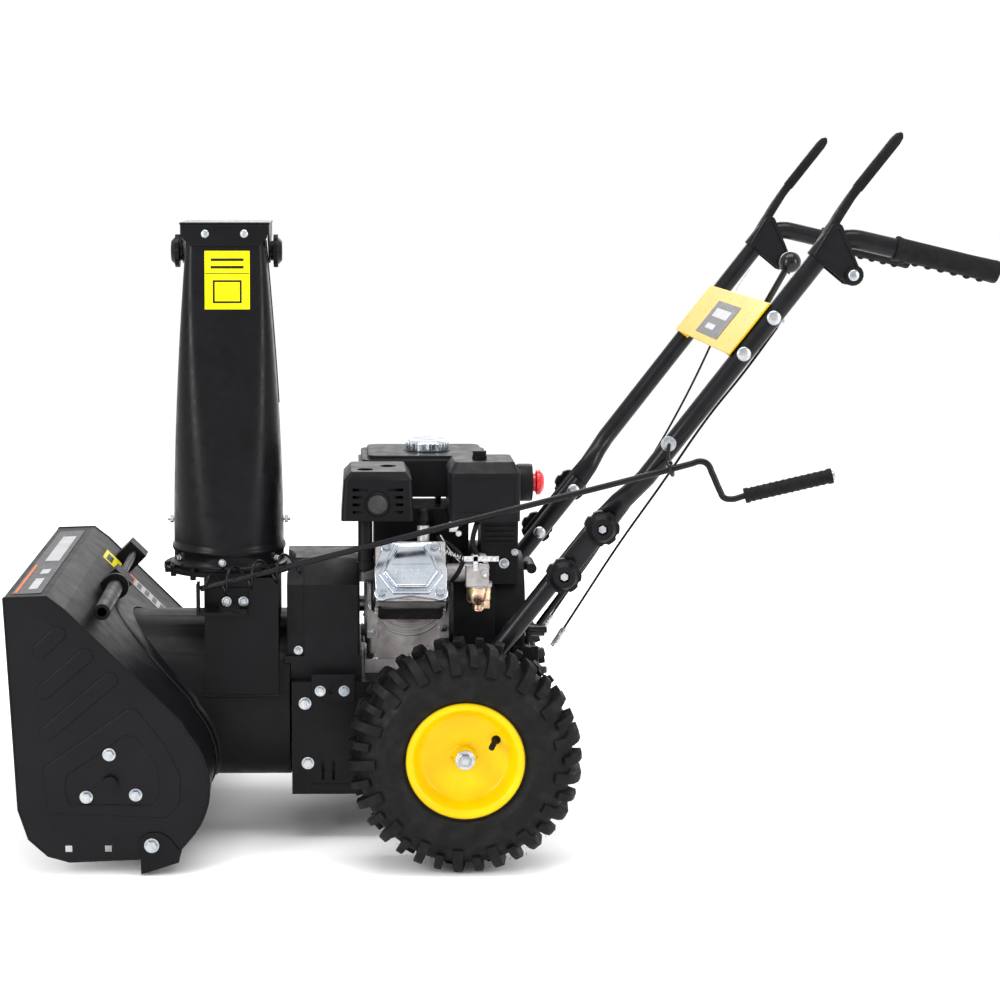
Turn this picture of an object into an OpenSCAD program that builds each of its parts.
// Two-stage walk-behind snow thrower with a petrol engine.
// X runs from the auger (-X) to the operator (+X), +Y is the operator's right, Z is up.
// Inside the modules X = 0 is the wheel axle and Z = 0 is the ground.

/* [Overall] */
// Front edge of the auger housing, measured from the axle
front_x = -656; // [-690:1:-640]
// Rear end of the hand grips, measured from the axle
rear_x = 756; // [740:1:780]
// Outer width of the auger housing
housing_w = 570; // [540:1:580]
// Sheet metal thickness
sheet = 2.5; // [2:0.5:4]

/* [Wheels] */
// Outer diameter of the tyre over its lugs
tyre_d = 338; // [330:1:346]
// Width of the tyre
tyre_w = 104; // [96:1:106]
// Distance from the middle of the machine to the middle of a wheel
wheel_y = 248; // [246:1:254]
// Diameter of the rim flange
rim_d = 172; // [166:1:178]
// Diameter of the wheel axle
axle_d = 20; // [16:1:24]
// Lugs in each of the two tread rows
lug_count = 34; // [24:1:38]
// Height of a tread lug
lug_h = 12; // [8:1:14]

/* [Auger and impeller] */
// Height of the auger shaft
auger_z = 140; // [135:1:145]
// Distance from the axle forward to the auger shaft
auger_x = 510; // [505:1:515]
// Outer radius of the auger ribbons
auger_r = 104; // [95:1:106]
// Diameter of the auger shaft
auger_shaft_d = 20; // [16:1:24]
// Height of the impeller shaft
impeller_z = 201; // [199:1:203]
// Inner radius of the impeller drum
drum_r = 127; // [122:1:129]
// Gap between the impeller blades and the drum
blade_gap = 3; // [2:1:6]
// Diameter of the impeller shaft
impeller_shaft_d = 20; // [16:1:22]

/* [Chute] */
// Radius of the chute where it turns on its ring
chute_r = 84; // [78:1:86]
// Height of the seat that the chute turns on
chute_z = 412; // [408:1:416]
// Height of the top edge of the chute
chute_top = 905; // [840:1:960]
// Width of the chute at its top edge
chute_top_w = 117; // [105:1:130]
// Length of the deflector, from its hinge
deflector_l = 140; // [120:1:170]

/* [Frame and engine] */
// Width of the transmission case
case_w = 260; // [240:1:262]
// Height of the engine bed
bed_z = 247; // [245:1:250]
// Height of the crankshaft
crank_z = 340; // [336:1:344]
// Tilt of the cylinder above level
cylinder_tilt = 28; // [20:1:30]

/* [Handle] */
// Diameter of the handle tubes
tube_d = 28; // [25:1:30]
// Distance from the middle to a lower handle tube
lower_y = 166; // [165:1:168]
// Distance from the middle to an upper handle tube
upper_y = 222; // [215:1:230]
// Slope of the handle tubes above level
handle_slope = 52.3; // [52:0.1:52.6]
// Downward slope of the grips
grip_slope = 13; // [10:0.5:15]
// Radius of the bend below each grip
bend_r = 50; // [46:1:54]
// Length of the hand grips
grip_l = 152; // [120:1:160]
// Diameter of the clamp knobs
knob_d = 52; // [44:1:56]

/* [Crank] */
// Diameter of the chute crank rod
crank_d = 9; // [8:1:11]

/* [Clearances] */
// Radial running clearance of a shaft in its bore
run = 0.05; // [0.02:0.01:0.1]
// Gap between neighbouring parts that move past each other
gap = 0.5; // [0.4:0.1:1]

/* [Hidden] */

// Places shared by several parts
mid_x = (front_x + rear_x) / 2;
half_w = housing_w / 2;
axle_z = tyre_d / 2;
left = -1;
right = 1;
chute_x = -350;
chute_y = -30;
drum_front = -520;
relief = 2;
drum_back = -256;
drum_depth = drum_back - drum_front;
// Near face of the square duct, flush with the side of the drum
duct_near = 1 - drum_r - sheet / 2;
case_front = -253;
case_back = 120;
case_h = bed_z - 74;
case_z = 74;

// Auger housing outline, seen from the side, clockwise from the top front corner
back_r = 118;
housing_side = [
    [front_x, 410], [-595, 412], [-571, 393], [-408, 229],
    for (a = [42 : -12 : -42]) [-486 + back_r * cos(a), 132 + back_r * sin(a)],
    [-413, 36], [-470, 25], [-571, 21], [-602, 30], [-629, 55], [-643, 99]
];

// Drive train
pulley_x = -224;
drive_pulley_x = -192;
engine_pulley_r = 34;
drive_pulley_r = 28;
impeller_pulley_r = 84;
disc_pulley_r = 52;
disc_z = 166;
disc_r = 76;
disc_face = -146;
friction_r = 58;
friction_x = disc_face + gap + friction_r;
shaft_sprocket_r = 18;
axle_sprocket_r = 54;
sprocket_y = 100;
belt_t = 9;
worm_r = 20;
worm_wheel_r = impeller_z - auger_z - worm_r - gap;

// Clean-out tool, held across the slope of the housing
tool_x = -524;
tool_z = 377;
tool_r = 6;
tool_lift = 21.9;

// Deflector hinge at the top of the chute
deflector_y = chute_y + 22;
deflector_z = chute_top - 18;
deflector_top = chute_top + 26;
deflector_half = chute_top_w / 2 + 7.5;

// Engine
engine_front = -142;
engine_back = -8;
muffler_x = [-178, -70];
muffler_y = [-141, -14];
muffler_z = [494, 567];
tank_x = [-146, 52];
tank_y = [-4, 150];
tank_z = [508, 566];
tank_top = 572;
box_x = [-17, 90];
box_y = [-120, -12];
box_z = [489, 577];

// Handle joints: the two clamp bolts on each side and the bend under the grip
joint_low = [146, 424];
joint_gap = 88.4;
joint_high = joint_low + joint_gap * [cos(handle_slope), sin(handle_slope)];
flat_t = 10;
knob_y = lower_y + tube_d / 2 + flat_t + gap;
knob_h = 27;
clamp_bolt_r = 4;
// Where the straight tube and the grip would meet if the bend were sharp
grip_corner = [523, 917];
turn = handle_slope + grip_slope;
bend_tangent = bend_r * tan(turn / 2);
bend_start = grip_corner - bend_tangent * [cos(handle_slope), sin(handle_slope)];
bend_end = grip_corner + bend_tangent * [cos(grip_slope), -sin(grip_slope)];
pivot = bend_start + bend_r * [sin(handle_slope), -cos(handle_slope)];
grip_r = 16;
grip_run = (rear_x - bend_end[0] - grip_r * sin(grip_slope)) / cos(grip_slope);
flare = [for (reach = [44, 98]) joint_high + reach * [cos(handle_slope), sin(handle_slope)]];

// Chute crank: the straight rod runs from the worm to the bend before the handle
worm_end = [-386, -153, 395.5];
rod_end = [320, -262, 597];
crank_path = [
    [333, -264, 600], [341, -264, 595], [348, -265, 582], [359, -266, 558],
    [364, -267, 550], [372, -268, 547], [393, -270, 552]
];
crank_grip = [[393, -270, 552], [513, -284, 583]];
crank_heading = unit(rod_end - worm_end);
crank_bends = concat([rod_end - 6 * crank_heading], crank_path, [crank_grip[0] + 0.3 * (crank_grip[1] - crank_grip[0])]);

worm_turns = 4;
worm_pitch = 39;
worm_coil_r = 19;
crank_yaw = atan2(crank_heading[1], crank_heading[0]);
crank_pitch = acos(crank_heading[2]);
crank_side = unit(cross(crank_heading, [0, 0, 1]));
crank_up = cross(crank_side, crank_heading);
crank_eye = worm_end + crank_heading * 711;
worm_last = worm_turns * 12;
worm_coil = [
    for (i = [0 : worm_last])
        worm_end + crank_heading * (6 + worm_pitch * i / 12)
            + worm_coil_r * min(1, i / 5, (worm_last - i) / 5) * (cos(i * 30) * crank_side + sin(i * 30) * crank_up)
];

// Handle panel and the bolts that hold it
panel_mid = [414, 775];
panel_bolts = [[393, 750], [434, 801]];

// Speed lever
shift_ball = [511, 20, 868];
shift_knee = [421, 20, 702];
shift_foot = [127, 20, 292];
shift_pin_r = 5;

// Control cables, from the lever end down to the transmission
cable_left_path = [
    [497, -203, 858], [484, -203, 843], [468, -202, 820], [452, -202, 793], [402, -200, 722],
    [352, -192, 654], [290, -180, 556], [230, -160, 460], [180, -140, 372], [140, -122, 300]
];
cable_right_path = [
    [487, 203, 848], [474, 203, 829], [466, 202, 815], [444, 199, 772], [423, 190, 724],
    [362, 172, 604], [300, 140, 508], [240, 110, 411], [190, 102, 340], [142, 100, 268]
];

// ---------- shared shapes ----------

module from_axle() {
    translate([-mid_x, 0, 0])
        children();
}

module along_x(x, y, z, r, h) {
    translate([x, y, z])
        rotate([0, 90, 0])
            cylinder(r = r, h = h, $fn = 64);
}

module along_y(x, y, z, r, h) {
    translate([x, y + h, z])
        rotate([90, 0, 0])
            cylinder(r = r, h = h, $fn = 64);
}

// Turns an XZ outline into a plate that fills y to y + t
module plate(y, t) {
    translate([0, y + t, 0])
        rotate([90, 0, 0])
            linear_extrude(t)
                children();
}

module block(x, y, z) {
    translate([x[0], y[0], z[0]])
        cube([x[1] - x[0], y[1] - y[0], z[1] - z[0]]);
}

// A block with the four edges along Z rounded
module round_block(x, y, z, r) {
    translate([0, 0, z[0]])
        linear_extrude(z[1] - z[0])
            round_rect(x, y, r);
}

module round_rect(x, y, r) {
    hull()
        for (px = [x[0] + r, x[1] - r], py = [y[0] + r, y[1] - r])
            translate([px, py])
                circle(r = r, $fn = 24);
}

module rod(a, b, r) {
    v = b - a;
    translate(a)
        rotate([0, acos(v[2] / norm(v)), atan2(v[1], v[0])])
            cylinder(r = r, h = norm(v), $fn = 48);
}

// A hexagon bolt head with its washer, facing along Y on one side of the machine
module bolt_head(x, y, z, side, r = 6) {
    translate([x, y, z])
        rotate([90 * -side, 0, 0]) {
            cylinder(r = r * 1.35, h = 1.5, $fn = 32);
            cylinder(r = r, h = 1.5 + r * 0.7, $fn = 6);
        }
}

function unit(v) = v / norm(v);

// Direction of the path at point i
function heading(p, i) = unit(p[min(i + 1, len(p) - 1)] - p[max(i - 1, 0)]);

function ring(c, d, r, n) =
    let (u = unit(cross(d, [0, 1, 0])), v = cross(d, u))
        [for (k = [0 : n - 1]) c + r * (cos(k * 360 / n) * u + sin(k * 360 / n) * v)];

// A solid through a list of rings with n points each, closed at both ends
module skin(rings, n) {
    last = len(rings) - 1;
    polyhedron(
        points = [for (one = rings) each one],
        faces = [
            [for (k = [0 : n - 1]) k],
            for (i = [0 : last - 1], k = [0 : n - 1])
                [i * n + k, (i + 1) * n + k, (i + 1) * n + (k + 1) % n],
            for (i = [0 : last - 1], k = [0 : n - 1])
                [i * n + k, (i + 1) * n + (k + 1) % n, i * n + (k + 1) % n],
            [for (k = [n - 1 : -1 : 0]) last * n + k]
        ],
        convexity = 10
    );
}

// Level rectangle with rounded corners: 16 points, anticlockwise from above
function rect_ring(x, y, z, r) = [
    for (c = [[1, 1], [0, 1], [0, 0], [1, 0]], a = [0 : 30 : 90])
        let (start = c[1] == 1 ? (c[0] == 1 ? 0 : 90) : (c[0] == 1 ? 270 : 180))
            [
                x[c[0]] + (c[0] == 1 ? -r : r) + r * cos(start + a),
                y[c[1]] + (c[1] == 1 ? -r : r) + r * sin(start + a),
                z
            ]
];

module tube_along(path, r, n = 8) {
    skin([for (i = [0 : len(path) - 1]) ring(path[i], heading(path, i), r, n)], n);
}

module keyed_circle(r, teeth, depth) {
    difference() {
        circle(r = r, $fn = 64);
        for (k = [0 : teeth - 1])
            rotate(k * 360 / teeth)
                translate([r, 0])
                    circle(r = depth, $fn = 16);
    }
}

// ---------- auger housing ----------

module housing_outline() {
    polygon(housing_side);
}

// Raised slanted ribs and the raised boss of a side plate
module side_relief() {
    for (rib = [[[-606, 334], [-580, 358]], [[-602, 274], [-542, 326]], [[-599, 213], [-507, 291]]])
        hull()
            for (end = rib)
                translate(end)
                    circle(r = 9.5, $fn = 24);
    difference() {
        hull()
            for (p = [[-595, 156], [-478, 239], [-441, 190], [-420, 147], [-421, 114], [-434, 97], [-590, 104]])
                translate(p)
                    circle(r = 9, $fn = 24);
        hull()
            for (p = [[-568, 148], [-571, 128], [-566, 112], [-452, 110], [-444, 120], [-447, 165], [-475, 203], [-486, 205]])
                translate(p)
                    circle(r = 7, $fn = 24);
    }
}

module auger_housing() {
    from_axle()
        color("#1c1d20") {
            difference() {
                plate(-half_w, housing_w)
                    housing_outline();
                plate(-half_w + sheet, housing_w - 2 * sheet) {
                    offset(delta = -sheet)
                        housing_outline();
                    // Open mouth, and open floor in front of the scraper
                    translate([front_x - 10, 100])
                        square([50, 306]);
                    translate([front_x - 10, 0])
                        square([170, 101]);
                }
                along_x(drum_front, 0, impeller_z, drum_r + sheet, drum_depth);
                along_y(-auger_x, -half_w - 5, auger_z, auger_shaft_d / 2 + run, housing_w + 10);
                for (x = [-572, -515])
                    block([x - 5, x + 5], [-half_w - 5, half_w + 5], [35, 45]);
            }
            for (side = [left, right])
                plate(side == left ? -half_w - relief : half_w - 1, relief + 1)
                    side_relief();
        }
}

module scraper_bar() {
    from_axle()
        color("#26272a") {
            plate(-half_w, housing_w)
                polygon([[-468, 2], [-413, 20], [-413, 24], [-468, 24]]);
            for (y = [-half_w - 3, half_w])
                plate(y, 3)
                    polygon([[-468, 2], [-413, 20], [-412, 37], [-426, 56], [-440, 65], [-458, 64], [-469, 55]]);
        }
}

module housing_bolts() {
    from_axle()
        color("#c9ccd0")
            for (side = [left, right]) {
                for (p = [[-511, 181], [-545, 118], [-474, 121]])
                    bolt_head(p[0], side * half_w, p[1], side, 7);
                bolt_head(-452, side * (half_w + 3), 46, side, 8);
                for (p = [[-233, 214], [-229, 121]])
                    bolt_head(p[0], side * case_w / 2, p[1], side, 7);
                for (x = [-210, -174])
                    bolt_head(x, side * (case_w / 2 + 3 + run), 234, side, 6);
            }
}

// Drum round the impeller, with the square duct that rises to the chute
module impeller_casing() {
    duct_x = [-383, -272];
    duct_y = [duct_near, chute_y + 70];
    from_axle()
        color("#1c1d20")
            difference() {
                union() {
                    along_x(drum_front + 10, 0, impeller_z, drum_r + sheet, drum_depth - 10);
                    block(duct_x, duct_y, [impeller_z, chute_z - 6]);
                }
                along_x(drum_front, 0, impeller_z, drum_r, drum_depth - sheet);
                block(
                    [duct_x[0] + sheet, duct_x[1] - sheet],
                    [duct_y[0] + sheet, duct_y[1] - sheet],
                    [impeller_z, chute_z]
                );
                along_x(drum_back - 10, 0, impeller_z, impeller_shaft_d / 2 + run, 20);
                plate(-half_w - 1, housing_w + 2)
                    housing_outline();
            }
}

// Flange that the chute turns on, and the bracket that holds the end of the crank
module chute_ring() {
    from_axle()
        color("#232427") {
            difference() {
                translate([chute_x, chute_y, chute_z - 6])
                    cylinder(r = chute_r + 16, h = 6, $fn = 96);
                translate([chute_x, chute_y, chute_z - 7])
                    cylinder(r = chute_r - 30, h = 8, $fn = 96);
            }
            for (a = [-150, -122, -50, 80, 190])
                translate([chute_x + (chute_r + 11) * cos(a), chute_y + (chute_r + 11) * sin(a), chute_z - 12])
                    cylinder(r = 4.5, h = 17, $fn = 6);
            // Crank bracket: a bent strip on two bolts
            difference() {
                block([-378, -318], [-168, duct_near], [358, 362]);
                block([-360, -330], [-160, -128], [350, 370]);
            }
            block([-378, -318], [duct_near - 4, duct_near], [348, 392]);
            block([-392, -388], [worm_end[1] - 14, worm_end[1] + 14], [358, 404]);
            block([-392, -376], [-168, duct_near - 3], [358, 362]);
        }
}

// Clip and rest that hold the clean-out tool across the slope of the housing
module tool_clip() {
    from_axle()
        color("#232427")
            difference() {
                for (y = [-8, 222])
                    translate([tool_x, y, tool_z])
                        rotate([0, 45, 0])
                            translate([-18, 0, -tool_lift])
                                cube([36, 40, tool_lift + 12]);
                along_y(tool_x, -60, tool_z, tool_r + run, 400);
            }
}

// Paddle for clearing a clogged chute
module cleanout_tool() {
    from_axle()
        color("#17181a") {
            along_y(tool_x, -40, tool_z, tool_r, 300);
            along_y(tool_x, -46, tool_z, 20, 6);
            difference() {
                along_y(tool_x, -228, tool_z, 12, 182);
                along_y(tool_x, -230, tool_z, 7, 60);
            }
        }
}

// ---------- auger and impeller ----------

// Helical ribbon round the X axis: r1 to r2 wide, t thick, from x1 to x2 along the shaft
module ribbon(y1, y2, start, sweep_angle) {
    steps = 22;
    skin([
        for (i = [0 : steps])
            let (
                a = start + sweep_angle * i / steps,
                y = y1 + (y2 - y1) * i / steps,
                out = [cos(a), 0, sin(a)]
            )
            [
                [0, y - 2.5, 0] + (auger_r - 34) * out,
                [0, y - 2.5, 0] + auger_r * out,
                [0, y + 2.5, 0] + auger_r * out,
                [0, y + 2.5, 0] + (auger_r - 34) * out
            ]
    ], 4);
}

// One rake: a tube on the shaft with two ribbons carried by flat arms
module rake() {
    y_in = 48;
    span = half_w - 22 - y_in;
    twist = 300;
    translate([-auger_x, 0, auger_z]) {
        difference() {
            along_y(0, y_in, 0, auger_shaft_d / 2 + 6, span);
            along_y(0, y_in - 1, 0, auger_shaft_d / 2, span + 2);
        }
        for (start = [0, 180]) {
            ribbon(y_in + 3, y_in + span - 3, start, twist);
            for (f = [0.12, 0.5, 0.88])
                rotate([0, -(start + twist * f), 0])
                    translate([auger_shaft_d / 2 + 3, y_in + span * f - 5, -7])
                        cube([auger_r - 24 - auger_shaft_d / 2, 10, 14]);
        }
    }
}

module auger_left() {
    from_axle()
        color("#20262b")
            mirror([0, 1, 0])
                rake();
}

module auger_right() {
    from_axle()
        color("#20262b")
            rake();
}

module auger_shaft() {
    from_axle()
        color("#8d9094") {
            along_y(-auger_x, -half_w - 8, auger_z, auger_shaft_d / 2, housing_w + 16);
            // Worm wheel keyed to the shaft
            translate([-auger_x, 9, auger_z])
                rotate([90, 0, 0])
                    linear_extrude(18)
                        keyed_circle(worm_wheel_r, 20, 2.5);
        }
}

// Gearbox case in the middle of the auger shaft, with a nose for the worm
module auger_gearbox() {
    wall = 6;
    inner = worm_wheel_r + 3;
    from_axle()
        color("#34373a")
            difference() {
                union() {
                    along_y(-auger_x, -24, auger_z, inner + wall, 48);
                    along_y(-auger_x, -40, auger_z, auger_shaft_d / 2 + 8, 80);
                    along_x(-auger_x - 50, 0, impeller_z, worm_r + wall + 2, 120);
                }
                along_y(-auger_x, -18, auger_z, inner, 36);
                along_x(-auger_x - 44, 0, impeller_z, worm_r + 2, 108);
                along_y(-auger_x, -50, auger_z, auger_shaft_d / 2 + run, 100);
                along_x(-auger_x + 40, 0, impeller_z, impeller_shaft_d / 2 + run, 60);
            }
}

module impeller_shaft() {
    from_axle()
        color("#9a9da1") {
            along_x(-auger_x - 20, 0, impeller_z, impeller_shaft_d / 2, 323);
            difference() {
                along_x(-auger_x - 34, 0, impeller_z, worm_r, 68);
                for (x = [-28 : 12 : 20])
                    translate([-auger_x + x, 0, impeller_z])
                        rotate([0, 90, 0])
                            difference() {
                                cylinder(r = worm_r + 1, h = 5, $fn = 48);
                                translate([0, 0, -1])
                                    cylinder(r = worm_r - 5, h = 7, $fn = 48);
                            }
            }
        }
}

module impeller() {
    back_plate_x = drum_back - sheet - 14;
    tip_r = drum_r - blade_gap;
    from_axle()
        color("#20262b")
            difference() {
                union() {
                    along_x(back_plate_x, 0, impeller_z, tip_r * 0.55, 5);
                    along_x(back_plate_x - 90, 0, impeller_z, impeller_shaft_d / 2 + 8, 90);
                    for (a = [0 : 90 : 270])
                        translate([back_plate_x - 84, 0, impeller_z])
                            rotate([a + 15, 0, 0])
                                translate([0, -3, impeller_shaft_d / 2 + 4])
                                    cube([88, 6, tip_r - impeller_shaft_d / 2 - 4.5]);
                }
                along_x(back_plate_x - 100, 0, impeller_z, impeller_shaft_d / 2, 120);
            }
}

module impeller_pulley() {
    from_axle()
        color("#7c7f83")
            difference() {
                grooved_pulley(pulley_x, 0, impeller_z, impeller_pulley_r);
                along_x(pulley_x - 20, 0, impeller_z, impeller_shaft_d / 2, 40);
            }
}

// A V-belt pulley on the X axis: r is where the belt runs
module grooved_pulley(x, y, z, r) {
    translate([x, y, z])
        rotate([0, 90, 0])
            rotate_extrude($fn = 72)
                polygon([
                    [0, -9], [r + 4, -9], [r + 4, -6.5], [r - 9, -3.2], [r - 9, 3.2], [r + 4, 6.5], [r + 4, 9], [0, 9]
                ]);
}

// ---------- chute ----------

// Rounded outline of the chute channel at a given height
module chute_slice(w, d, lean, z, t) {
    translate([chute_x, chute_y + lean, z])
        linear_extrude(0.5)
            hull() {
                translate([0, d / 2 - 12])
                    square([w - 2 * t, 24 - 2 * t], center = true);
                for (x = [-1, 1])
                    translate([x * (w / 2 - d * 0.42), -d * 0.08])
                        circle(r = d * 0.42 - t, $fn = 40);
            }
}

module chute_body(t) {
    mid_z = chute_z + 0.42 * (chute_top - chute_z);
    hull() {
        translate([chute_x, chute_y, chute_z + 34])
            cylinder(r = chute_r - t, h = 1, $fn = 64);
        chute_slice(chute_r * 1.9, 148, 4, mid_z, t);
    }
    hull() {
        chute_slice(chute_r * 1.9, 148, 4, mid_z, t);
        chute_slice(chute_top_w, 112, 22, chute_top - 0.5, t);
    }
}

module chute() {
    from_axle()
        color("#1a1b1e") {
            difference() {
                union() {
                    translate([chute_x, chute_y, chute_z + gap])
                        cylinder(r = chute_r, h = 36, $fn = 96);
                    translate([chute_x, chute_y, chute_z + gap])
                        cylinder(r = chute_r + 5, h = 4, $fn = 96);
                    translate([chute_x, chute_y, chute_z + 26])
                        cylinder(r = chute_r + 2, h = 4, $fn = 96);
                }
                translate([chute_x, chute_y, chute_z - 1])
                    cylinder(r = chute_r - 3, h = 40, $fn = 96);
            }
            difference() {
                chute_body(0);
                chute_body(3);
                // Mouth of the chute, open towards the side it throws to
                block(
                    [chute_x - 100, chute_x + 100],
                    [chute_y + 34, chute_y + 200],
                    [chute_z + 0.42 * (chute_top - chute_z), chute_top + 20]
                );
                translate([chute_x, chute_y, chute_z + 33])
                    cylinder(r = chute_r - 3, h = 4, $fn = 64);
            }
            for (side = [left, right])
                along_x(chute_x + side * (chute_top_w / 2 + 12) - 14, deflector_y, deflector_z, 4, 28);
        }
}

// Flap on top of the chute: it tips down about its side bolts
module deflector() {
    inner = deflector_half - sheet;
    back = deflector_y - 56;
    front = back + deflector_l;
    from_axle()
        color("#1a1b1e") {
            difference() {
                block([chute_x - deflector_half, chute_x + deflector_half], [back, front], [chute_top + 2, deflector_top]);
                block(
                    [chute_x - inner, chute_x + inner], [back + sheet, front + 1],
                    [chute_top, deflector_top - sheet]
                );
                // Lets the back edge clear the chute when the deflector leans back
                block([chute_x - inner, chute_x + inner], [back - 1, back + sheet + 1], [chute_top, chute_top + 8]);
            }
            // Cheeks down to the side bolts
            for (side = [left, right])
                difference() {
                    translate([chute_x + (side < 0 ? -deflector_half : inner), 0, 0])
                        rotate([90, 0, 90])
                            linear_extrude(sheet)
                                polygon([
                                    [back, chute_top + 1], [deflector_y - 18, deflector_z - 12],
                                    [deflector_y - 8, deflector_z - 18], [deflector_y + 12, deflector_z - 18],
                                    [front, deflector_top - 12], [front, deflector_top - 1], [back, deflector_top - 1]
                                ]);
                    along_x(chute_x - 100, deflector_y, deflector_z, 4 + run, 200);
                }
        }
}

// Lobed clamp knob, its axis along the bolt, with a flange against the part it clamps
module lobed_knob(d, h, bolt_r) {
    difference() {
        union() {
            cylinder(r = d * 0.3, h = h * 0.35, $fn = 40);
            translate([0, 0, h * 0.25])
                linear_extrude(h * 0.4)
                    difference() {
                        circle(r = d / 2, $fn = 64);
                        for (k = [0 : 6])
                            rotate(k * 360 / 7 + 25)
                                translate([d * 0.56, 0])
                                    circle(r = d * 0.11, $fn = 24);
                    }
            translate([0, 0, h * 0.65])
                cylinder(r1 = d * 0.42, r2 = d * 0.3, h = h * 0.35, $fn = 48);
        }
        translate([0, 0, -1])
            cylinder(r = bolt_r + run, h = h + 2, $fn = 48);
        translate([0, 0, h * 0.72])
            cylinder(r = bolt_r * 2, h = h, $fn = 48);
    }
}

module deflector_knob(side) {
    from_axle()
        color("#111214")
            translate([chute_x + side * (deflector_half + gap), deflector_y, deflector_z])
                rotate([0, 90 * side, 0])
                    lobed_knob(50, 17, 4);
}

module deflector_knob_front() deflector_knob(left);

module deflector_knob_rear() deflector_knob(right);

// ---------- transmission ----------

module transmission_case() {
    t = 3;
    y = [-case_w / 2, case_w / 2];
    from_axle()
        color("#1b1c1f") {
            difference() {
                block([case_front, case_back], y, [case_z, bed_z]);
                block([case_front + t, case_back - t], [y[0] + t, y[1] - t], [case_z - 1, bed_z - t]);
                // Belt opening in front of the engine
                block([case_front + t, -160], [-100, 100], [bed_z - t - 1, bed_z + 1]);
                along_y(0, -200, axle_z, axle_d / 2 + 4, 400);
                along_y(friction_x, -200, disc_z, 10, 400);
                along_x(case_front - 1, 0, impeller_z, impeller_shaft_d / 2 + 3, 10);
                for (x = [-206, -190])
                    translate([x - 2, -200, 94])
                        cube([4, 400, 32]);
            }
            // Wall that carries the drive disc
            difference() {
                block([-182, -176], [y[0] + t, y[1] - t], [case_z + 4, bed_z - t]);
                along_x(-190, 0, disc_z, 10 + run, 20);
            }
            for (side = [left, right])
                plate(side * case_w / 2 + (side < 0 ? -3 : 0), 3)
                    difference() {
                        translate([-223, 217])
                            square([65, 42]);
                        translate([-192, 234])
                            circle(r = 5, $fn = 32);
                    }
            // Lug and pin for the speed lever
            block([shift_foot[0] - 13, shift_foot[0] - 10], [shift_foot[1] - 14, shift_foot[1] + 14], [bed_z, 304]);
            along_x(shift_foot[0] - 13, shift_foot[1], shift_foot[2], shift_pin_r, 32);
            // Cable bracket at the back
            block([case_back, case_back + 3], [-135, 135], [200, 262]);
            for (side = [left, right])
                along_y(100, side * 125 - 8, 289, 12, 16);
            for (side = [left, right])
                block([80, 118], [side * 125 - 3, side * 125 + 3], [bed_z, 300]);
        }
}

module bottom_cover() {
    from_axle()
        color("#1b1c1f")
            difference() {
                block([case_front, case_back], [-case_w / 2, case_w / 2], [case_z - 2, case_z]);
                for (x = [case_front + 20, case_back - 20], y = [-case_w / 2 + 20, case_w / 2 - 20])
                    translate([x, y, case_z - 5])
                        cylinder(r = 3.5, h = 10, $fn = 32);
            }
}

// Cross-section of the belt cover: upright sides, sloping shoulders and a flat top
module cover_section(side, shoulder, ridge, top) {
    polygon([[-side, bed_z], [-side, shoulder], [-ridge, top], [ridge, top], [side, shoulder], [side, bed_z]]);
}

module cover_run(x) {
    translate([x[0], 0, 0])
        rotate([90, 0, 90])
            linear_extrude(x[1] - x[0])
                children();
}

module belt_cover() {
    from_axle()
        color("#191a1c")
            difference() {
                union() {
                    cover_run([-260, -150])
                        cover_section(104, 391, 50, 422);
                    cover_run([-234, -153])
                        cover_section(110, 392, 56, 421);
                    block([-264, -147], [-110, 110], [bed_z, 282]);
                }
                // Hollow over the belts, shallower in front where the chute flange passes
                cover_run([-243, -154])
                    translate([0, -1])
                        cover_section(99, 388, 47, 418);
                cover_run([-256, -242])
                    translate([0, -1])
                        cover_section(99, 380, 70, 390);
                along_x(-160, 0, crank_z, 16, 20);
                // Room for the drum and for the flange of the chute
                along_x(drum_front, 0, impeller_z, drum_r + sheet + 1, drum_depth + 1);
                translate([chute_x, chute_y, chute_z - 14])
                    cylinder(r = chute_r + 19, h = 60, $fn = 96);
            }
}

module axle_bushings() {
    from_axle()
        color("#b08a4a")
            for (side = [left, right])
                difference() {
                    union() {
                        along_y(0, side * (case_w / 2 - 3) - 8, axle_z, axle_d / 2 + 4, 16);
                        along_y(0, side * (case_w / 2 - 3) - (side < 0 ? 0 : 8), axle_z, axle_d / 2 + 9, 5);
                    }
                    along_y(0, side * (case_w / 2) - 20, axle_z, axle_d / 2 + run, 40);
                }
}

module axle() {
    from_axle()
        color("#9a9da1") {
            along_y(0, -wheel_y - 31, axle_z, axle_d / 2, 2 * wheel_y + 62);
            for (side = [left, right])
                bolt_head(0, side * (wheel_y + 31 + run), axle_z, side, 9);
            translate([0, -sprocket_y + 4, axle_z])
                rotate([90, 0, 0])
                    linear_extrude(6)
                        keyed_circle(axle_sprocket_r, 32, 3);
            along_y(0, -sprocket_y - 12, axle_z, axle_d / 2 + 6, 22);
        }
}

// Wheel rim, turned about its own axis, with z pointing out of the machine
module rim(side) {
    r = rim_d / 2;
    from_axle()
        color("#f5c400")
            translate([0, side * wheel_y, axle_z])
                rotate([-90 * side, 0, 0]) {
                    rotate_extrude($fn = 96) {
                        polygon([
                            [r - 12, -38], [r, -40], [r, -37], [r - 9, -34], [r - 9, 34], [r, 37], [r, 40],
                            [r - 3, 41], [r - 10, 38], [r - 12, 33], [r - 14, 28], [r - 30, 14], [16, 12],
                            [16, 31], [axle_d / 2, 31], [axle_d / 2, -40], [16, -40], [16, 9], [r - 29, 11],
                            [r - 12, 25]
                        ]);
                    }
                    rotate(28)
                        translate([52, 0, 10])
                            rotate([0, 20, 0])
                                cylinder(r = 4, h = 26, $fn = 32);
                }
}

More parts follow.
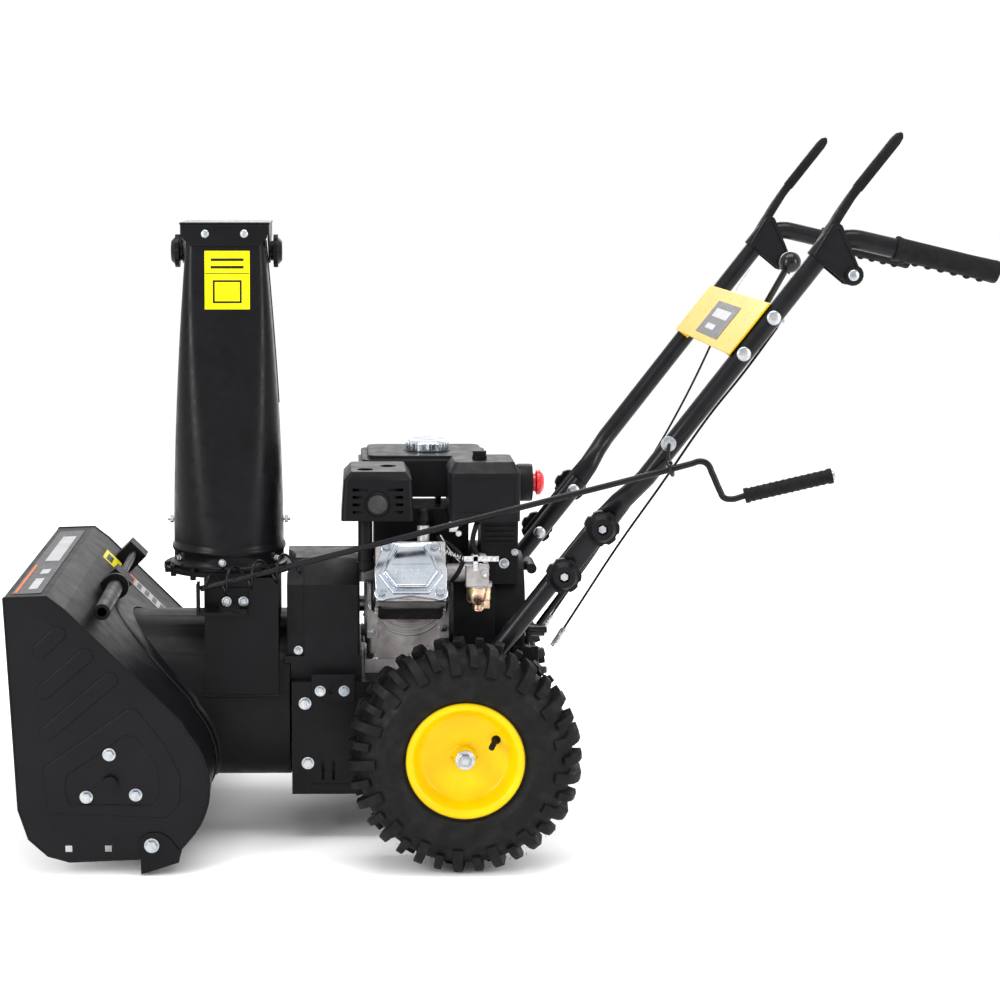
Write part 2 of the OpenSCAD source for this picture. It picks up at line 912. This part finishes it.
module rim_left() rim(left);

module rim_right() rim(right);

// A ring of separate lugs on a thin hoop, from z1 to z2 across the tyre
module lug_row(r_in, r_out, z1, z2, phase) {
    lug_w = PI * tyre_d / lug_count * 0.5;
    translate([0, 0, z1])
        linear_extrude(z2 - z1)
            difference() {
                union() {
                    circle(r = r_in + 2, $fn = 96);
                    for (k = [0 : lug_count - 1])
                        rotate(phase + k * 360 / lug_count)
                            translate([r_in, -lug_w / 2])
                                square([sqrt(r_out * r_out - lug_w * lug_w / 4) - r_in, lug_w]);
                }
                circle(r = r_in - 3, $fn = 96);
            }
}

module tyre(side) {
    r = tyre_d / 2 - lug_h;
    w = tyre_w / 2;
    rr = rim_d / 2;
    from_axle()
        color("#17181a")
            translate([0, side * wheel_y, axle_z])
                rotate([-90 * side, 0, 0]) {
                    rotate_extrude($fn = 96)
                        polygon([
                            [rr - 9, -34], [rr - 1, -36], [rr + 8, -w + 6], [rr + 26, -w + 1], [rr + 46, -w + 1],
                            [r - 6, -w + 9], [r, -w + 22], [r, w - 22], [r - 6, w - 9], [rr + 46, w - 1],
                            [rr + 26, w - 1], [rr + 8, w - 6], [rr - 1, 36], [rr - 9, 34], [rr - 9, 26],
                            [rr + 8, w - 16], [rr + 26, w - 10], [rr + 44, w - 11], [r - 14, w - 24],
                            [r - 14, -w + 24], [rr + 44, -w + 11], [rr + 26, -w + 10], [rr + 8, -w + 16],
                            [rr - 9, -26]
                        ]);
                    for (row = [left, right]) {
                        phase = row * 90 / lug_count;
                        lug_row(r - 1, tyre_d / 2, row < 0 ? -w + 16 : 3, row < 0 ? -3 : w - 16, phase);
                        lug_row(r - 12, tyre_d / 2 - 5, row < 0 ? -w : w - 16, row < 0 ? -w + 16 : w, phase);
                    }
                }
}

module tyre_left() tyre(left);

module tyre_right() tyre(right);

module friction_shaft() {
    from_axle()
        color("#9a9da1") {
            along_y(friction_x, -case_w / 2 - 4, disc_z, 10 - run, case_w + 8);
            translate([friction_x, -sprocket_y + 3, disc_z])
                rotate([90, 0, 0])
                    linear_extrude(5)
                        keyed_circle(shaft_sprocket_r, 11, 2.5);
        }
}

module friction_wheel() {
    from_axle()
        color("#3a3330")
            difference() {
                union() {
                    along_y(friction_x, 25, disc_z, friction_r, 10);
                    along_y(friction_x, 12, disc_z, 20, 36);
                }
                along_y(friction_x, 0, disc_z, 10, 60);
            }
}

// Disc that the friction wheel runs on, with its belt pulley in front of the wall
module drive_disc() {
    from_axle()
        color("#7c7f83") {
            along_x(disc_face - 8, 0, disc_z, disc_r, 8);
            along_x(drive_pulley_x - 9, 0, disc_z, 10, disc_face - drive_pulley_x + 5);
            grooved_pulley(drive_pulley_x, 0, disc_z, disc_pulley_r);
        }
}

// Outline of a loop round two wheels, seen along the shafts
module loop_outline(a, ra, b, rb) {
    hull() {
        translate(a)
            circle(r = ra, $fn = 64);
        translate(b)
            circle(r = rb, $fn = 64);
    }
}

module drive_chain() {
    a = [0, axle_z];
    b = [friction_x, disc_z];
    from_axle()
        color("#55585c")
            plate(-sprocket_y - 3, 6)
                difference() {
                    loop_outline(a, axle_sprocket_r + 6, b, shaft_sprocket_r + 6);
                    loop_outline(a, axle_sprocket_r + gap, b, shaft_sprocket_r + gap);
                }
}

// A V-belt loop round two pulleys on the X axis
module belt_loop(x, z_top, r_top, z_low, r_low) {
    translate([x - belt_t / 2, 0, 0])
        rotate([90, 0, 90])
            linear_extrude(belt_t)
                difference() {
                    loop_outline([0, z_top], r_top + 10, [0, z_low], r_low + 10);
                    loop_outline([0, z_top], r_top + 4 + gap, [0, z_low], r_low + 4 + gap);
                }
}

module drive_belts() {
    from_axle()
        color("#151515") {
            belt_loop(pulley_x, crank_z, engine_pulley_r, impeller_z, impeller_pulley_r);
            belt_loop(drive_pulley_x, crank_z, drive_pulley_r, disc_z, disc_pulley_r);
        }
}

// ---------- engine ----------

module crankcase() {
    from_axle()
        color("#b9b4b2") {
            difference() {
                union() {
                    block([engine_front, engine_back], [-74, 84], [bed_z, 268]);
                    round_block([engine_front + 4, engine_back - 4], [-66, 78], [266, 400], 10);
                    along_x(engine_front, 0, crank_z, 62, 136);
                    // Deck that the cylinder stands on
                    cylinder_frame()
                        translate([0, 0, 40])
                            cylinder(r = 44, h = 47.9, $fn = 64);
                }
                block([engine_front + 16, engine_back - 16], [-54, 66], [272, 388]);
                along_x(engine_front - 1, 0, crank_z, 12.5 + run, 30);
                along_x(engine_back - 30, 0, crank_z, 12.5 + run, 40);
            }
            for (y = [-58, 66], x = [-128, -24])
                translate([x, y, 268])
                    cylinder(r = 8, h = 8, $fn = 6);
        }
}

// Finned barrel and head, tilted up towards the left of the machine
module cylinder_frame() {
    translate([-75, 0, crank_z])
        rotate([90 - cylinder_tilt, 0, 0])
            children();
}

module cylinder_block_fins() {
    for (k = [0 : 5])
        translate([0, 0, 88 + k * 9])
            linear_extrude(4)
                square([106 - k % 2 * 6, 96], center = true);
}

module engine_cylinder() {
    from_axle()
        color("#9c9896")
            cylinder_frame() {
                translate([0, 0, 87.95])
                    cylinder(r = 38, h = 58, $fn = 64);
                cylinder_block_fins();
                translate([0, 0, 138])
                    linear_extrude(34)
                        square([104, 92], center = true);
                translate([20, 44, 152])
                    rotate([-70, 0, 0])
                        cylinder(r = 9, h = 32, $fn = 32);
            }
}

module valve_cover() {
    from_axle()
        color("#c3c5c8")
            cylinder_frame()
                translate([0, 0, 172]) {
                    linear_extrude(5)
                        difference() {
                            round_rect([-56, 56], [-46, 46], 12);
                            for (x = [-46, 46], y = [-36, 36])
                                translate([x, y])
                                    circle(r = 3.2, $fn = 24);
                        }
                    translate([0, 0, 5])
                        linear_extrude(22)
                            polygon([
                                [-46, 20], [-30, 40], [30, 40], [46, 20], [46, -20], [30, -40], [-30, -40], [-46, -20]
                            ]);
                }
}

module crankshaft() {
    from_axle()
        color("#8d9094") {
            along_x(-240, 0, crank_z, 12.5, 262);
            grooved_pulley(pulley_x, 0, crank_z, engine_pulley_r);
            grooved_pulley(drive_pulley_x, 0, crank_z, drive_pulley_r);
            along_x(10, 0, crank_z, 84, 24);
        }
}

module starter_housing() {
    from_axle()
        color("#17181a") {
            difference() {
                union() {
                    along_x(engine_back + gap, 0, crank_z, 98, 62);
                    along_x(50, 0, crank_z, 82, 52);
                }
                along_x(engine_back, 0, crank_z, 90, 58);
                along_x(49, 0, crank_z, 72, 48);
                block([engine_back - 1, 110], [-100, 100], [crank_z - 100, bed_z + gap]);
                for (a = [0 : 30 : 330])
                    translate([90, 0, crank_z])
                        rotate([a, 0, 0])
                            translate([0, -4, 28])
                                cube([20, 8, 30]);
            }
            // Starter grip resting in its guide
            along_x(102, 0, crank_z + 60, 8, 14);
            along_y(116, -30, crank_z + 60, 8, 60);
        }
}

module muffler() {
    from_axle()
        color("#5d5550") {
            round_block(
                [muffler_x[0] + 15, muffler_x[1] - 15], [muffler_y[0] + 15, muffler_y[1] - 15],
                [muffler_z[0] + 2, muffler_z[1] - 9], 18
            );
            rod([-142, -110, muffler_z[0] + 4], [-142, -124, 400], 10);
            along_x(-142, -126, 410, 11, 15);
            along_y(-124, muffler_y[0] - 2, 519.5, 14, 30);
        }
}

// Outline of the heat guard, drawn in by t: upright sides, then sloping shoulders
module guard_shell(t, low) {
    skin([
        rect_ring([muffler_x[0] + t, muffler_x[1] - t], [muffler_y[0] + t, muffler_y[1] - t], low, 6),
        rect_ring(
            [muffler_x[0] + 4 + t, muffler_x[1] - 3 - t], [muffler_y[0] + 2 + t, muffler_y[1] - 2 - t],
            muffler_z[1] - 12 - t / 2, 6
        ),
        rect_ring(
            [muffler_x[0] + 15 + t / 2, muffler_x[1] - 12 - t / 2], [muffler_y[0] + 9 + t / 2, muffler_y[1] - 10 - t / 2],
            muffler_z[1] - t, 5
        )
    ], 16);
}

// Pressed heat guard, open underneath, with louvres and a round outlet
module muffler_guard() {
    slots_near = [[-161, -138], [-161, -145.5], [-161, -148.5], [-161, -145.5]];
    slots_far = [[-108.5, -86], [-100, -86], [-97.5, -86], [-101, -86]];
    from_axle()
        color("#26262b")
            difference() {
                guard_shell(0, muffler_z[0]);
                guard_shell(2, muffler_z[0] - 1);
                along_y(-124, muffler_y[0] - 1, 519.5, 15, 8);
                for (k = [0 : 3], row = [slots_near, slots_far])
                    block(row[k], [muffler_y[0] - 1, muffler_y[0] + 7], [538.5 - 11.1 * k, 542.9 - 11.1 * k]);
                for (p = [[-142, -108], [-107, -72]])
                    translate([p[0], p[1], muffler_z[1] - 5])
                        cylinder(r = 12, h = 10, $fn = 48);
            }
}

module fuel_tank() {
    from_axle()
        color("#1b1c1f")
            difference() {
                union() {
                    round_block(tank_x, tank_y, tank_z, 18);
                    round_block([tank_x[0] + 10, tank_x[1] - 8], [tank_y[0] + 6, tank_y[1] - 8], [tank_z[1] - 1, tank_top], 16);
                    block([tank_x[0] - 4, tank_x[1] + 4], [tank_y[0] + 30, tank_y[1] + 4], [548, 553]);
                    // Brackets down to the engine
                    block([-120, -112], [20, 70], [400, tank_z[0] + 1]);
                    block([-30, -22], [20, 70], [400, tank_z[0] + 1]);
                }
                round_block(
                    [tank_x[0] + 4, tank_x[1] - 4], [tank_y[0] + 4, tank_y[1] - 4], [tank_z[0] + 4, tank_z[1] - 4], 15
                );
                translate([-42, 70, tank_z[1] - 8])
                    cylinder(r = 20, h = 30, $fn = 48);
            }
}

module fuel_cap() {
    from_axle()
        color("#b5b8b4")
            translate([-42, 70, tank_top + gap]) {
                linear_extrude(13)
                    keyed_circle(34, 24, 1.8);
                translate([0, 0, 13])
                    cylinder(r = 31, h = 4, $fn = 64);
                translate([0, 0, -14])
                    cylinder(r = 18, h = 15, $fn = 48);
            }
}

// Heated air box over the carburettor, with its front panel and lower shroud
module air_box() {
    t = 3;
    shroud_x = [33, 89];
    shroud_y = [-92, -18];
    from_axle()
        color("#191a1d") {
            difference() {
                union() {
                    skin([
                        rect_ring(box_x, box_y, box_z[0], 10),
                        rect_ring(box_x, box_y, box_z[1] - 15, 10),
                        rect_ring([box_x[0] + 9, box_x[1] - 9], [box_y[0] + 16, box_y[1] - 8], box_z[1], 8)
                    ], 16);
                    block(shroud_x, shroud_y, [389, box_z[0] + 1]);
                }
                block([box_x[0] + t, box_x[1] - t], [box_y[0] + t, box_y[1] - t], [box_z[0] + t, box_z[1] - 17]);
                block([shroud_x[0] + t, shroud_x[1] - t], [shroud_y[0] + t, shroud_y[1] - t], [380, box_z[0] - t]);
                block([box_x[0] + 5, box_x[1] - 9], [box_y[0] - 1, box_y[0] + 1.5], [503, 556]);
                along_y(68, shroud_y[0] - 1, 421, 9, 6);
                // Fan housing behind the shroud
                along_x(engine_back, 0, crank_z, 98 + gap, 62.5 + gap);
                along_x(50, 0, crank_z, 82 + gap, 54);
            }
            for (z = [450 : 8 : 474])
                block([38, 84], [shroud_y[0] - 3, shroud_y[0] + 0.1], [z, z + 4]);
            along_x(box_x[1] - 1, -62, 540, 28, 22);
        }
}

module choke_knob() {
    from_axle()
        color("#111214")
            translate([31, -70, box_z[1] + gap]) {
                cylinder(r = 11, h = 5, $fn = 40);
                translate([-10, -3, 0])
                    cube([20, 6, 12]);
            }
}

module stop_switch() {
    from_axle()
        color("#e02020") {
            along_x(box_x[1] + 21 + gap, -62, 540, 19, 12);
            translate([box_x[1] + 33, -62, 540])
                rotate([0, 90, 0])
                    cylinder(r1 = 19, r2 = 12, h = 6, $fn = 48);
        }
}

module carburettor() {
    y = -118;
    from_axle()
        color("#b58b2e") {
            block([8, 42], [y - 22, y + 21], [392, 430]);
            along_x(-21.9, y, 412, 14, 30);
            translate([28, y, 362])
                cylinder(r = 19, h = 31, $fn = 48);
            translate([28, y, 354])
                cylinder(r = 7, h = 9, $fn = 6);
        }
}

// ---------- handle ----------

// Point on the handle's plane: XZ pair at a distance y from the middle
function at(p, y) = [p[0], y, p[1]];

module lower_tube(side) {
    start = [joint_low[0] - 210 * cos(handle_slope) / sin(handle_slope), joint_low[1] - 210];
    stop = joint_high + 18 * [cos(handle_slope), sin(handle_slope)];
    y = side * lower_y;
    difference() {
        rod(at(start, y), at(stop, y), tube_d / 2);
        rod(at(start - [1, 1.3], y), at(stop + [1, 1.3], y), tube_d / 2 - 2);
        for (p = [joint_low, joint_high])
            along_y(p[0], y - 30, p[1], clamp_bolt_r, 60);
    }
    for (z = [start[1] + 12, start[1] + 52])
        along_y(
            start[0] + (z - start[1]) * cos(handle_slope) / sin(handle_slope),
            side < 0 ? -lower_y + tube_d / 2 - 3 : case_w / 2, z, 9, lower_y - tube_d / 2 + 3 - case_w / 2
        );
}

module handle_lower() {
    from_axle()
        color("#1d1e21") {
            lower_tube(left);
            lower_tube(right);
        }
}

// Flattened end, flare outwards, straight run, bend and grip tube
module upper_tube(side) {
    along = [cos(handle_slope), sin(handle_slope)];
    y_flat = lower_y + tube_d / 2;
    difference() {
        translate([joint_low[0], side < 0 ? -y_flat - flat_t : y_flat, joint_low[1]])
            rotate([0, -handle_slope, 0])
                translate([-18, 0, -tube_d / 2 - 3])
                    cube([joint_gap + 61, flat_t, tube_d + 6]);
        for (p = [joint_low, joint_high])
            along_y(p[0], side * y_flat - 30, p[1], clamp_bolt_r, 60);
    }
    low = at(flare[0], side * (y_flat + tube_d / 2 - 2));
    high = at(flare[1], side * upper_y);
    rod(low, high, tube_d / 2 - 0.2);
    for (elbow = [low, high, at(bend_start, side * upper_y), at(bend_end, side * upper_y)])
        translate(elbow)
            sphere(r = tube_d / 2 + 0.4, $fn = 48);
    rod(high, at(bend_start, side * upper_y), tube_d / 2);
    translate([pivot[0], side * upper_y, pivot[1]])
        rotate([90, 0, 0])
            rotate([0, 0, 90 - grip_slope])
                rotate_extrude(angle = turn, $fn = 96)
                    translate([bend_r, 0])
                        circle(r = tube_d / 2, $fn = 48);
    rod(
        at(bend_end, side * upper_y),
        at(bend_end + (grip_run - 3) * [cos(grip_slope), -sin(grip_slope)], side * upper_y),
        tube_d / 2
    );
}

// Gusset under the bend that carries the lever's pivot pin
module lever_pivot(side) {
    y = side * upper_y;
    difference() {
        union() {
            plate(y - 3, 6)
                hull() {
                    translate(pivot)
                        circle(r = 12, $fn = 32);
                    translate(bend_start - 3 * [sin(handle_slope), -cos(handle_slope)])
                        circle(r = 8, $fn = 32);
                    translate(bend_end + 3 * [0, 1])
                        circle(r = 8, $fn = 32);
                }
            along_y(pivot[0], y - tube_d / 2 - 5, pivot[1], 5, tube_d + 10);
        }
    }
}

module handle_upper() {
    from_axle()
        color("#1d1e21")
            for (side = [left, right]) {
                upper_tube(side);
                lever_pivot(side);
            }
}

module handle_bolts() {
    from_axle()
        color("#c9ccd0") {
            for (side = [left, right], p = [joint_low, joint_high]) {
                inner = lower_y - tube_d / 2 - 2;
                outer = knob_y + knob_h * 0.9;
                along_y(p[0], side < 0 ? -outer : inner, p[1], clamp_bolt_r, outer - inner);
                bolt_head(p[0], side * (inner + 2), p[1], -side, 7);
            }
            for (side = [left, right], p = panel_bolts)
                bolt_head(p[0], side * (upper_y + tube_d / 2 + run), p[1], side, 8);
            // Eye bolt that guides the crank rod
            along_y(289, -upper_y - tube_d / 2 - 3 - run, 622, 11, 3);
            rod([289, -upper_y - tube_d / 2 - 4, 622], [289, crank_eye[1] + 4, 602], 3.5);
            translate(crank_eye)
                rotate(crank_yaw)
                    rotate([0, crank_pitch, 0])
                        rotate_extrude($fn = 48)
                            translate([crank_d / 2 + gap + 3.5, 0])
                                circle(r = 3.5, $fn = 24);
        }
}

module clamp_knob(side, p) {
    from_axle()
        color("#141517")
            translate([p[0], side * knob_y, p[1]])
                rotate([-90 * side, 0, 0])
                    lobed_knob(knob_d, knob_h, clamp_bolt_r);
}

module knob_left_upper() clamp_knob(left, joint_high);

module knob_left_lower() clamp_knob(left, joint_low);

module knob_right_upper() clamp_knob(right, joint_high);

module knob_right_lower() clamp_knob(right, joint_low);

// Plate across both tubes that carries the speed gate
module handle_panel() {
    w = 2 * upper_y + 14;
    from_axle()
        color("#f5c400")
            translate([panel_mid[0], 0, panel_mid[1]])
                rotate([0, -handle_slope, 0]) {
                    translate([-46, -w / 2, tube_d / 2 + 0.2])
                        cube([92, w, 3]);
                    for (side = [left, right])
                        translate([-46, side < 0 ? -w / 2 + 30 : w / 2 - 33, -2])
                            cube([92, 3, tube_d / 2 + 3]);
                }
}

module grips() {
    run_dir = [cos(grip_slope), -sin(grip_slope)];
    from_axle()
        color("#131416")
            for (side = [left, right]) {
                start = at(bend_end + (grip_run - grip_l) * run_dir, side * upper_y);
                stop = at(bend_end + grip_run * run_dir, side * upper_y);
                difference() {
                    union() {
                        rod(start, stop, grip_r);
                        for (k = [1 : 6])
                            translate(start + (stop - start) * k / 7 - [3, 0, 12.5])
                                sphere(r = 7, $fn = 24);
                    }
                    rod(start - [2, 0, -0.46], stop - 3 * [run_dir[0], 0, run_dir[1]], tube_d / 2);
                }
            }
}

// Squeeze lever: a channel that wraps the bend and a long blade
module clutch_lever(side) {
    cheek_t = 3;
    inner = tube_d / 2 + gap + 0.5;
    wide = 2 * (inner + cheek_t);
    from_axle()
        color("#1a1b1d")
            translate([pivot[0], side * upper_y, pivot[1]])
                rotate([0, -handle_slope, 0])
                    difference() {
                        union() {
                            plate(-wide / 2, wide)
                                polygon([
                                    [-16, bend_r + 14], [-16, bend_r + 20], [62, bend_r + 24], [198, bend_r + 27],
                                    [198, bend_r + 19], [72, bend_r + 8], [14, -9], [6, -14], [-6, -14], [-13, -6]
                                ]);
                        }
                        translate([-60, -inner, -60])
                            cube([130, 2 * inner, 60 + bend_r + tube_d / 2 + gap]);
                        for (y = [-wide / 2 - 1, wide / 2 - 9])
                            translate([80, y, 0])
                                cube([140, 10, 120]);
                        along_y(0, -wide, 0, 5 + run, 2 * wide);
                    }
}

module clutch_lever_left() clutch_lever(left);

module clutch_lever_right() clutch_lever(right);

// Speed lever: ball, bent rod and a pivot on the back of the case
module shift_lever() {
    from_axle()
        color("#141517") {
            translate(shift_ball)
                sphere(r = 16.5, $fn = 48);
            rod(shift_ball, shift_knee, 5);
            translate(shift_knee)
                sphere(r = 5.6, $fn = 32);
            rod(shift_knee, shift_foot + 10.2 * unit(shift_knee - shift_foot), 5);
            difference() {
                along_x(shift_foot[0] - 9, shift_foot[1], shift_foot[2], 10, 24);
                along_x(shift_foot[0] - 20, shift_foot[1], shift_foot[2], shift_pin_r + run, 50);
            }
        }
}

// ---------- chute crank and cables ----------

module crank_rod() {
    from_axle()
        color("#1a1b1d") {
            rod(worm_end, rod_end, crank_d / 2);
            tube_along(crank_bends, crank_d / 2 - 0.2, 10);
            tube_along(worm_coil, 2, 8);
            rod(crank_grip[0], crank_grip[1], 11);
            rod(crank_grip[1] - 2 * unit(crank_grip[1] - crank_grip[0]), crank_grip[1] + 4 * unit(crank_grip[1] - crank_grip[0]), 7);
        }
}

module cable_left() {
    from_axle()
        color("#111213")
            tube_along(cable_left_path, 2.2, 8);
}

module cable_right() {
    from_axle()
        color("#111213")
            tube_along(cable_right_path, 2.2, 8);
}

auger_housing();
scraper_bar();
housing_bolts();
impeller_casing();
chute_ring();
auger_gearbox();
auger_shaft();
auger_left();
auger_right();
impeller_shaft();
impeller();
impeller_pulley();
chute();
deflector();
deflector_knob_front();
deflector_knob_rear();
cleanout_tool();
tool_clip();
transmission_case();
bottom_cover();
belt_cover();
axle_bushings();
axle();
rim_left();
rim_right();
tyre_left();
tyre_right();
friction_shaft();
friction_wheel();
drive_chain();
drive_disc();
crankcase();
engine_cylinder();
valve_cover();
crankshaft();
drive_belts();
muffler();
muffler_guard();
fuel_tank();
fuel_cap();
air_box();
choke_knob();
carburettor();
starter_housing();
stop_switch();
handle_lower();
handle_upper();
handle_bolts();
knob_left_upper();
knob_left_lower();
knob_right_upper();
knob_right_lower();
handle_panel();
grips();
clutch_lever_left();
clutch_lever_right();
shift_lever();
crank_rod();
cable_left();
cable_right();
